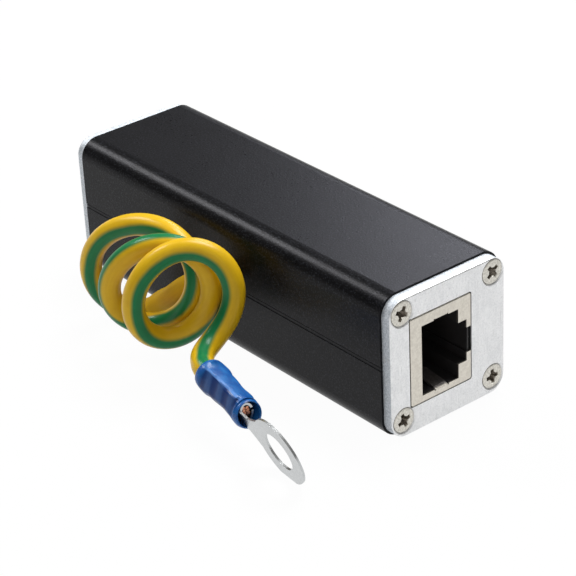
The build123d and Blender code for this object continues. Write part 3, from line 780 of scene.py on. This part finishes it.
def mouldedPlastic(name, colours, grain, roughness, relief):
    finish = Finish(name)
    spot = finish.place()
    fine = finish.noise(spot, grain, *plasticNoise["fine"])
    cloud = finish.noise(spot, grain / plasticNoise["cloudCoarser"])
    share = finish.clamped(cloud + plasticNoise["fineShare"] * fine, *plasticNoise["cloudRange"])
    spread = plasticNoise["fineRoughness"]
    return finish.surface({
        "Base Color": finish.blend(share, *colours),
        "Roughness": roughness - spread / 2 + spread * fine,
        "Normal": finish.bump(fine, *relief),
    })


boardLook = {
    "trackPitch": 1.27,
    "trackRange": (0.16, 0.2),
    "patch": ((160, 1, 420), 0),
    "patchRange": (0.48, 0.5),
    "weave": 0.09,
    "colours": ((0.004, 0.085, 0.020), (0.020, 0.17, 0.035)),       # bare, and over a track
    "roughness": 0.32,
    "weaveRoughness": 0.05,
    "coat": 0.3,
    "weaveShare": 0.1,
    "relief": (0.03, 0.6),
}


def circuitBoard(look):
    finish = Finish("circuitBoard")
    spot = finish.place()
    x, _, z = finish.parts(spot)
    run = finish.maths("FRACT", z / (look["trackPitch"] * mm))
    gap = finish.clamped(finish.absolute(run - 0.5), *look["trackRange"])
    patch = finish.clamped(finish.noise(spot, *look["patch"]), *look["patchRange"])
    copperShare = (1 - gap) * patch
    thread = look["weave"] * mm
    weave = finish.maths("SINE", x / thread) * finish.maths("SINE", z / thread)
    return finish.surface({
        "Base Color": finish.blend(copperShare, *look["colours"]),
        "Roughness": look["roughness"] + look["weaveRoughness"] * weave,
        "Coat Weight": look["coat"],
        "Normal": finish.bump(copperShare + look["weaveShare"] * weave, *look["relief"]),
    })


sheathLook = {
    "yellow": ((0.55, 0.31, 0.004), (0.70, 0.46, 0.014)),
    "green": ((0.003, 0.112, 0.034), (0.008, 0.205, 0.066)),
    "stripeEdge": (0.050, 0.122),           # shares of the way round, from the stripe's middle
    "wander": 0.02,
    "wanderNoise": ((0.22, 1, 1), 2),       # for each millimetre along
    "streakScale": (0.15, 26),              # for each millimetre along, for each turn round
    "mottle": (900, 2),
    "shares": (0.6, 0.4),                   # streak and mottle
    "dullRange": (27.0, 20.0),              # the first stretch, behind the coil, is less rubbed
    "roughness": 0.27,
    "mottleRoughness": 0.06,
    "dullRoughness": 0.36,
    "specular": 0.21,
}


def stripedSheath(name, look, fromMap):
    finish = Finish(name)
    spot = finish.place()
    if fromMap:
        run, turn, _ = finish.parts(finish.place("UV"))
    else:
        x, run, z = finish.parts(spot)
        exitX, _, exitZ = lead["exit"]
        turn = finish.maths("ARCTAN2", z - exitZ * mm, x - exitX * mm) / (2 * pi) + 0.5
        run = run / mm
    alongOnly = finish.node("CombineXYZ", {}, {0: run})
    wander = finish.noise(alongOnly, *look["wanderNoise"])
    offset = finish.absolute(turn - 0.5 - look["wander"] * (wander - 0.5))
    stripe = 1 - finish.clamped(offset, *look["stripeEdge"])
    streakAlong, streakRound = look["streakScale"]
    unrolled = finish.node("CombineXYZ", {}, {0: run * streakAlong, 1: turn * streakRound})
    streak = finish.noise(unrolled, 1.0)
    mottle = finish.noise(spot, *look["mottle"])
    streakShare, mottleShare = look["shares"]
    shade = streakShare * streak + mottleShare * mottle
    dull = finish.clamped(run, *look["dullRange"])
    roughness = look["roughness"] + look["mottleRoughness"] * mottle + look["dullRoughness"] * dull
    return finish.surface({
        "Base Color": finish.blend(
            stripe, finish.blend(shade, *look["yellow"]), finish.blend(shade, *look["green"])
        ),
        "Roughness": roughness,
        "Specular IOR Level": look["specular"],
    })


sleeveLook = {
    "body": ((0.006, 0.066, 0.26), (0.014, 0.125, 0.37)),
    "shadedBands": ((0.004, 0.026, 0.13), (0.026, 0.074, 0.22)),          # on the pressed side, darker in the marks' hollows and lighter on their ridges: painted shade and light
    # a lighter line along the crease, a painted highlight
    "creaseHighlightColour": (0.10, 0.25, 0.60),
    "creaseRange": (0.24, 0.05),            # fades, away from the crease
    "creaseShare": 0.75,
    "pressedRange": (0.14, -0.06),
    "openSide": (-0.4, 0.2),                # fades, across the sleeve
    "marksFrom": (1.5, 2.1),                # fades, along the sleeve
    "marksTo": (10.4, 11.2),
    "markSlant": 0.22,
    "markWander": ((260, 260, 260), 2),
    "markWanderShare": 1.2,
    "markWaves": 1.95,
    "flow": ((420, 900, 900), 3),
    "flowRange": (0.3, 0.7),
    "bandRange": (-0.7, 0.9),
    "bandFlow": 0.8,
    "creaseHighlightBreaks": (0.36, 0.56),
    "grain": (3800, 3),
    "roughness": 0.26,
    "grainRoughness": 0.12,
    "specular": 0.28,
    "reliefShares": (0.12, 0.5, 0.08),      # flow, marks and grain
    "relief": (0.12, 0.6),
}


def blueSleeve(look):
    finish = Finish("blueSleeve")
    spot = finish.place()
    origin = besideCase(lead["sleeveStart"])
    across, height, run = [
        (finish.dot(spot, axis) - origin.dot(axis)) / mm for axis in sleeveTurn().col
    ]
    facing, creaseAt = sleeve["crease"]
    rise = cos(radians(facing)) * across + sin(radians(facing)) * height
    near = finish.clamped(-1 * across, *look["openSide"])
    pressed = finish.clamped(rise, *[creaseAt + step for step in look["pressedRange"]]) * near
    crease = finish.clamped(finish.absolute(rise - creaseAt), *look["creaseRange"]) * near
    length = finish.clamped(run, *look["marksFrom"]) * (1 - finish.clamped(run, *look["marksTo"]))
    # slanting marks that the crimping tool left on the open side
    wander = finish.noise(spot, *look["markWander"])
    slanted = run + look["markSlant"] * height + look["markWanderShare"] * wander
    wave = finish.maths("SINE", slanted * look["markWaves"])
    marks = wave * pressed * length
    flow = finish.noise(spot, *look["flow"])
    grain = finish.noise(spot, *look["grain"])
    body = finish.blend(finish.clamped(flow, *look["flowRange"]), *look["body"])
    # the bands darken the marks' hollows and lighten their ridges, as the bump does: painted shade and
    # light
    bandShare = finish.clamped(wave + look["bandFlow"] * (flow - 0.5), *look["bandRange"])
    shadedBands = finish.blend(bandShare, *look["shadedBands"])
    # the lighter line along the crease is a painted highlight, broken up by the flow noise
    creaseShare = crease * length * finish.clamped(flow, *look["creaseHighlightBreaks"]) * look["creaseShare"]
    flowShare, markShare, grainShare = look["reliefShares"]
    return finish.surface({
        "Base Color": finish.blend(
            creaseShare, finish.blend(pressed * length, body, shadedBands), look["creaseHighlightColour"]
        ),
        "Roughness": look["roughness"] + look["grainRoughness"] * grain,
        "Specular IOR Level": look["specular"],
        "Normal": finish.bump(flow * flowShare + marks * markShare + grain * grainShare, *look["relief"]),
    })


copperLook = {
    "mottle": (5200, 4, 0.6),
    "mottleRange": (0.3, 0.7),
    "colours": ((0.46, 0.15, 0.07), (0.83, 0.42, 0.27)),
    "roughness": 0.26,
    "mottleRoughness": 0.2,
    "relief": (0.02, 0.7),
}


def cutCopper(look):
    finish = Finish("cutCopper")
    mottle = finish.noise(finish.place(), *look["mottle"])
    return finish.surface({
        "Base Color": finish.blend(finish.clamped(mottle, *look["mottleRange"]), *look["colours"]),
        "Roughness": look["roughness"] + look["mottleRoughness"] * mottle,
        "Metallic": 1.0,
        "Normal": finish.bump(mottle, *look["relief"]),
    })


finishes = {
    "case": anodisedCase(caseLook),
    "plate": blastedPlate(plateLook),
    "screw": recessedMetal("screwSteel", screwLook),
    "shield": recessedMetal("jackNickel", jackLook),
    "board": circuitBoard(boardLook),
    "sheath": stripedSheath("earthSheath", sheathLook, True),
    "innerSheath": stripedSheath("earthSheathInside", sheathLook, False),
    "sleeve": blueSleeve(sleeveLook),
    "copper": cutCopper(copperLook),
}
for name, values in plainMetals.items():
    finishes[name] = plainMetal(name, *values)
for name, values in mouldedPlastics.items():
    finishes[name] = mouldedPlastic(name, *values)

nodeFinishes = {
    "upper_shell": "case",
    "lower_shell": "case",
    "front_plate": "plate",
    "rear_plate": "plate",
    "front_jack_shield": "shield",
    "rear_jack_shield": "shield",
    "front_jack_housing": "housingPlastic",
    "rear_jack_housing": "housingPlastic",
    "front_jack_contacts": "contactGold",
    "rear_jack_contacts": "contactGold",
    "circuit_board": "board",
    "gas_tubes": "tubeCeramic",
    "gas_tube_electrodes": "electrodeTin",
    "clamp_arrays": "chipEpoxy",
    "line_resistors": "chipEpoxy",
    "earth_tab": "tabTin",
    "lead_grommet": "grommetRubber",
    "lead_inner": "innerSheath",
    "ring_terminal": "terminalTin",
    "conductor_strands": "copper",
}
for name, kind in nodeFinishes.items():
    for materialSlot in nodes[name].material_slots:
        materialSlot.material = finishes[kind]
pieces = (
    (earthLead, finishes["sheath"], "lead", ("lead_root", "lead_coil", "lead_tail")),
    (crimped, finishes["sleeve"], "sleeve", ("terminal_sleeve",)),
    (frontScrews, finishes["screw"], "screw", ("front_plate_screws",)),
    (rearScrews, finishes["screw"], "screw", ("rear_plate_screws",)),
)
for piece, material, slot, replaced in pieces:
    piece.data.materials.clear()
    piece.data.materials.append(material)
    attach(piece, "root")
    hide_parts(*replaced)
print("finishes on", len(nodeFinishes), "nodes")


# Floor, world and lamps
studio = {
    "floorSize": 6.0,
    "floorDrop": 0.05,
    "floorColour": (0.62, 0.62, 0.62),
    "floorShare": 0.97,
    "worldColour": (1.0, 0.975, 0.94),
    "worldStrength": 0.21,
    "lamps": {
        # direction from the object, distance, width, height, watts, colour
        "above": ((-0.10, 0.40, 0.91), 1.1, 0.6, 0.5, 16.5, (1.0, 1.0, 1.0)),
        "leftSide": ((-0.705, -0.20, 0.68), 1.2, 0.34, 0.34, 5.6, (1.0, 1.0, 1.0)),
        "front": ((0.80, -0.70, 0.60), 1.6, 1.6, 1.6, 4.2, (1.0, 1.0, 1.0)),
        "behind": ((-0.55, 0.70, 0.54), 1.05, 0.32, 0.32, 2.1, (0.88, 0.90, 1.0)),
    },
}


def addFloor(look):
    bpy.ops.mesh.primitive_plane_add(size=look["floorSize"], location=(0, 0, -look["floorDrop"] * mm))
    floor = bpy.context.object
    floor.name = "studioFloor"
    finish = Finish("studioFloor")
    camera, glossy, through = [
        finish.node("LightPath", {}, {}, f"Is {kind} Ray")
        for kind in ("Camera", "Glossy", "Transmission")
    ]
    seen = finish.maths("MAXIMUM", finish.maths("MAXIMUM", camera, glossy), through)
    matt = finish.node("BsdfDiffuse", {}, {"Color": (*look["floorColour"], 1)})
    white = finish.node("Emission", {}, {"Color": (1, 1, 1, 1), "Strength": 1.0})
    mixed = finish.node("MixShader", {}, {0: seen * look["floorShare"], 1: matt, 2: white})
    finish.node("OutputMaterial", {}, {"Surface": mixed}, None)
    floor.data.materials.append(finish.owner)


def addWorld(look):
    sky = Finish("studioWorld", bpy.data.worlds)
    bpy.context.scene.world = sky.owner
    seen = sky.node("LightPath", {}, {}, "Is Camera Ray")
    glow = {"Color": (*look["worldColour"], 1), "Strength": look["worldStrength"]}
    lit = sky.node("Background", {}, glow)
    white = sky.node("Background", {}, {"Color": (1, 1, 1, 1)})
    mixed = sky.node("MixShader", {}, {0: seen, 1: lit, 2: white})
    sky.node("OutputWorld", {}, {"Surface": mixed}, None)


def addLamp(name, direction, distance, width, height, watts, colour):
    bpy.ops.object.light_add(type="AREA")
    lamp = bpy.context.object
    lamp.name = name
    lamp.data.shape = "RECTANGLE"
    lamp.data.size = width
    lamp.data.size_y = height
    lamp.data.energy = watts
    lamp.data.color = colour
    away = Vector(direction).normalized()
    lamp.location = away * distance
    lamp.rotation_mode = "QUATERNION"
    lamp.rotation_quaternion = away.to_track_quat("Z", "Y")


addFloor(studio)
addWorld(studio)
for name, settings in studio["lamps"].items():
    addLamp(name, *settings)
bpy.context.scene.view_settings.view_transform = "Standard"
print("studio lit")

besideCase(lead["exit"])
